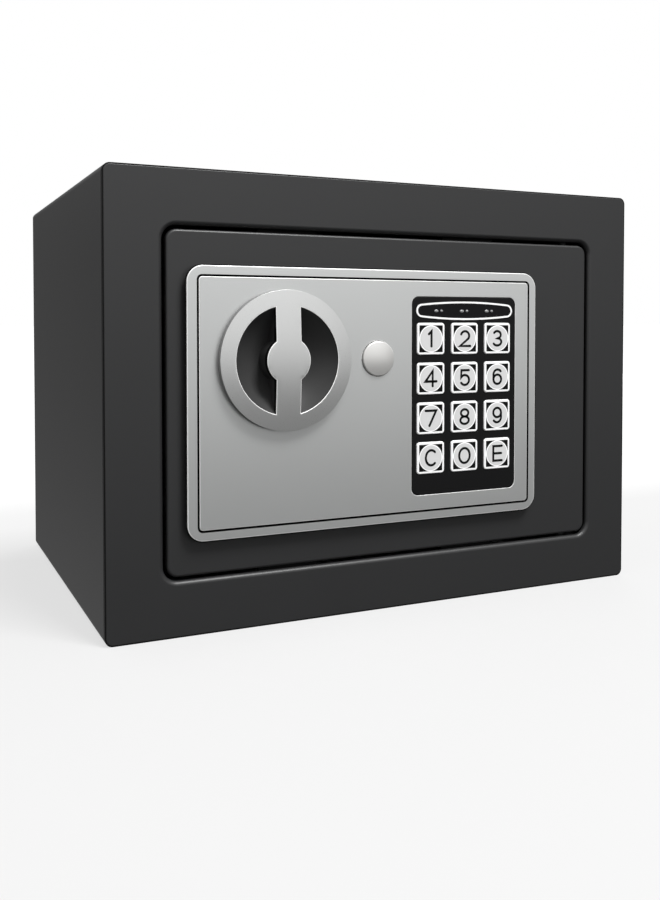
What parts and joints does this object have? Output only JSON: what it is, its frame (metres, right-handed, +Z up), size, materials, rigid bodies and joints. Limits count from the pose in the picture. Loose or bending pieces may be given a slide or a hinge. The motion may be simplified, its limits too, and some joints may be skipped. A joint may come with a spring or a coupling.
{
  "type": "electronic safe",
  "caption": "Small electronic home safe with a hinged steel door, rotary knob, numeric keypad, capped emergency lock and sliding bolts.",
  "frame": {"origin": "centre of the cabinet's underside, on the surface it stands on", "axes": "+Z up, the door faces -Y, +X to the right as seen from the front (the hinge side)"},
  "size_m": [0.23, 0.1775, 0.168],
  "materials": {
    "cabinet_paint": "satin powder coat, dark grey",
    "door_paint": "satin powder coat, dark grey",
    "fascia_silver": "silver painted moulding, satin",
    "plate_silver": "silver painted plate, satin",
    "knob_silver": "silver painted moulding, satin",
    "cap_silver": "silver painted cap, satin",
    "panel_black": "fine matte black",
    "bowl_black": "smooth black",
    "window_smoke": "glossy smoked window",
    "led_lens": "milky lens",
    "key_white": "white key with black legend",
    "membrane_grey": "moulded silicone mat",
    "board_green": "solder-masked board",
    "buzzer_black": "black case",
    "felt_grey": "needled felt",
    "zinc": "bright zinc plate",
    "steel": "ground steel",
    "lock_chrome": "bright nickel plate",
    "brass": "turned brass",
    "cover_paint": "satin powder coat, grey",
    "box_black": "black moulding",
    "cell_wrap": "printed sleeve, two colours",
    "contact_nickel": "nickel-plated strip",
    "coil_tape": "amber coil tape",
    "bushing_ivory": "natural acetal",
    "button_red": "red button",
    "wire_red": "PVC sleeve",
    "spring_steel": "spring wire"
  },
  "bodies": {
    "cabinet": {"body_shell": "cabinet_paint", "front_frame": "cabinet_paint", "back_panel": "cabinet_paint", "hinge_brackets": "cabinet_paint", "hinge_pins": "zinc", "door_stops": "cabinet_paint", "floor_mat": "felt_grey"},
    "door": {"door_plate": "door_paint", "hinge_barrels": "door_paint", "fascia_bezel": "fascia_silver", "face_plate": "plate_silver", "keypad_panel": "panel_black", "led_window": "window_smoke", "status_leds": "led_lens", "keypad_membrane": "membrane_grey", "circuit_board": "board_green", "buzzer": "buzzer_black", "bolt_guide": "zinc", "guide_studs": "zinc", "cover_posts": "zinc", "lock_cover": "cover_paint", "cover_screws": "zinc", "battery_box": "box_black", "batteries": "cell_wrap", "battery_contacts": "contact_nickel", "solenoid_frame": "zinc", "solenoid_coil": "coil_tape", "knob_bushing": "bushing_ivory", "lock_barrel": "lock_chrome", "lock_nut": "zinc", "reset_switch": "box_black", "wiring": "wire_red", "plunger_spring": "spring_steel", "reset_spring": "spring_steel"},
    "knob": {"knob_dial": "knob_silver", "knob_bowl": "bowl_black", "drive_cam": "zinc", "cam_screws": "zinc"},
    "carriage": {"bolt_carriage": "zinc", "bolt_upper": "steel", "bolt_lower": "steel", "bolt_screws": "zinc"},
    "key_1_body": {"key_1": "key_white"},
    "key_2_body": {"key_2": "key_white"},
    "key_3_body": {"key_3": "key_white"},
    "key_4_body": {"key_4": "key_white"},
    "key_5_body": {"key_5": "key_white"},
    "key_6_body": {"key_6": "key_white"},
    "key_7_body": {"key_7": "key_white"},
    "key_8_body": {"key_8": "key_white"},
    "key_9_body": {"key_9": "key_white"},
    "key_c_body": {"key_c": "key_white"},
    "key_0_body": {"key_0": "key_white"},
    "key_e_body": {"key_e": "key_white"},
    "cap": {"override_cap": "cap_silver"},
    "lock_cylinder": {"lock_plug": "brass", "lock_cam": "zinc"},
    "plunger": {"solenoid_plunger": "steel"},
    "reset": {"reset_button": "button_red"},
    "battery_lid": {"battery_cover": "box_black"}
  },
  "joints": [
    {"name": "door_swing", "type": "hinge", "parent": "cabinet", "child": "door", "pos_m": [0.0856, -0.0784, 0.0842], "axis": [0, 0, 1], "range_deg": [0, 90]},
    {"name": "knob_turn", "type": "hinge", "parent": "door", "child": "knob", "pos_m": [-0.0488, -0.085, 0.099], "axis": [0, -1, 0], "range_deg": [0, 90]},
    {"name": "bolt_throw", "type": "slide", "parent": "door", "child": "carriage", "axis": [-1, 0, 0], "range_m": [0, 0.012]},
    {"name": "key_1_press", "type": "slide", "parent": "door", "child": "key_1_body", "axis": [0, 1, 0], "range_m": [0, 0.0008], "stiffness_N_per_m": 800},
    {"name": "key_2_press", "type": "slide", "parent": "door", "child": "key_2_body", "axis": [0, 1, 0], "range_m": [0, 0.0008], "stiffness_N_per_m": 800},
    {"name": "key_3_press", "type": "slide", "parent": "door", "child": "key_3_body", "axis": [0, 1, 0], "range_m": [0, 0.0008], "stiffness_N_per_m": 800},
    {"name": "key_4_press", "type": "slide", "parent": "door", "child": "key_4_body", "axis": [0, 1, 0], "range_m": [0, 0.0008], "stiffness_N_per_m": 800},
    {"name": "key_5_press", "type": "slide", "parent": "door", "child": "key_5_body", "axis": [0, 1, 0], "range_m": [0, 0.0008], "stiffness_N_per_m": 800},
    {"name": "key_6_press", "type": "slide", "parent": "door", "child": "key_6_body", "axis": [0, 1, 0], "range_m": [0, 0.0008], "stiffness_N_per_m": 800},
    {"name": "key_7_press", "type": "slide", "parent": "door", "child": "key_7_body", "axis": [0, 1, 0], "range_m": [0, 0.0008], "stiffness_N_per_m": 800},
    {"name": "key_8_press", "type": "slide", "parent": "door", "child": "key_8_body", "axis": [0, 1, 0], "range_m": [0, 0.0008], "stiffness_N_per_m": 800},
    {"name": "key_9_press", "type": "slide", "parent": "door", "child": "key_9_body", "axis": [0, 1, 0], "range_m": [0, 0.0008], "stiffness_N_per_m": 800},
    {"name": "key_c_press", "type": "slide", "parent": "door", "child": "key_c_body", "axis": [0, 1, 0], "range_m": [0, 0.0008], "stiffness_N_per_m": 800},
    {"name": "key_0_press", "type": "slide", "parent": "door", "child": "key_0_body", "axis": [0, 1, 0], "range_m": [0, 0.0008], "stiffness_N_per_m": 800},
    {"name": "key_e_press", "type": "slide", "parent": "door", "child": "key_e_body", "axis": [0, 1, 0], "range_m": [0, 0.0008], "stiffness_N_per_m": 800},
    {"name": "cap_pull", "type": "slide", "parent": "door", "child": "cap", "axis": [0, -1, 0], "range_m": [0, 0.02]},
    {"name": "override_turn", "type": "hinge", "parent": "door", "child": "lock_cylinder", "pos_m": [-0.01, -0.085, 0.099], "axis": [0, 1, 0], "range_deg": [-90, 0]},
    {"name": "plunger_stroke", "type": "slide", "parent": "door", "child": "plunger", "axis": [0, 0, 1], "range_m": [0, 0.005], "deforming": ["plunger_spring"]},
    {"name": "reset_press", "type": "slide", "parent": "door", "child": "reset", "axis": [0, -1, 0], "range_m": [0, 0.0015], "stiffness_N_per_m": 600, "deforming": ["reset_spring"]},
    {"name": "battery_cover_pull", "type": "slide", "parent": "door", "child": "battery_lid", "axis": [0, 1, 0], "range_m": [0, 0.03]}
  ],
  "couplings": [
    {"joint": "bolt_throw", "follows": "knob_turn", "m_per_rad": 0.0076394}
  ]
}
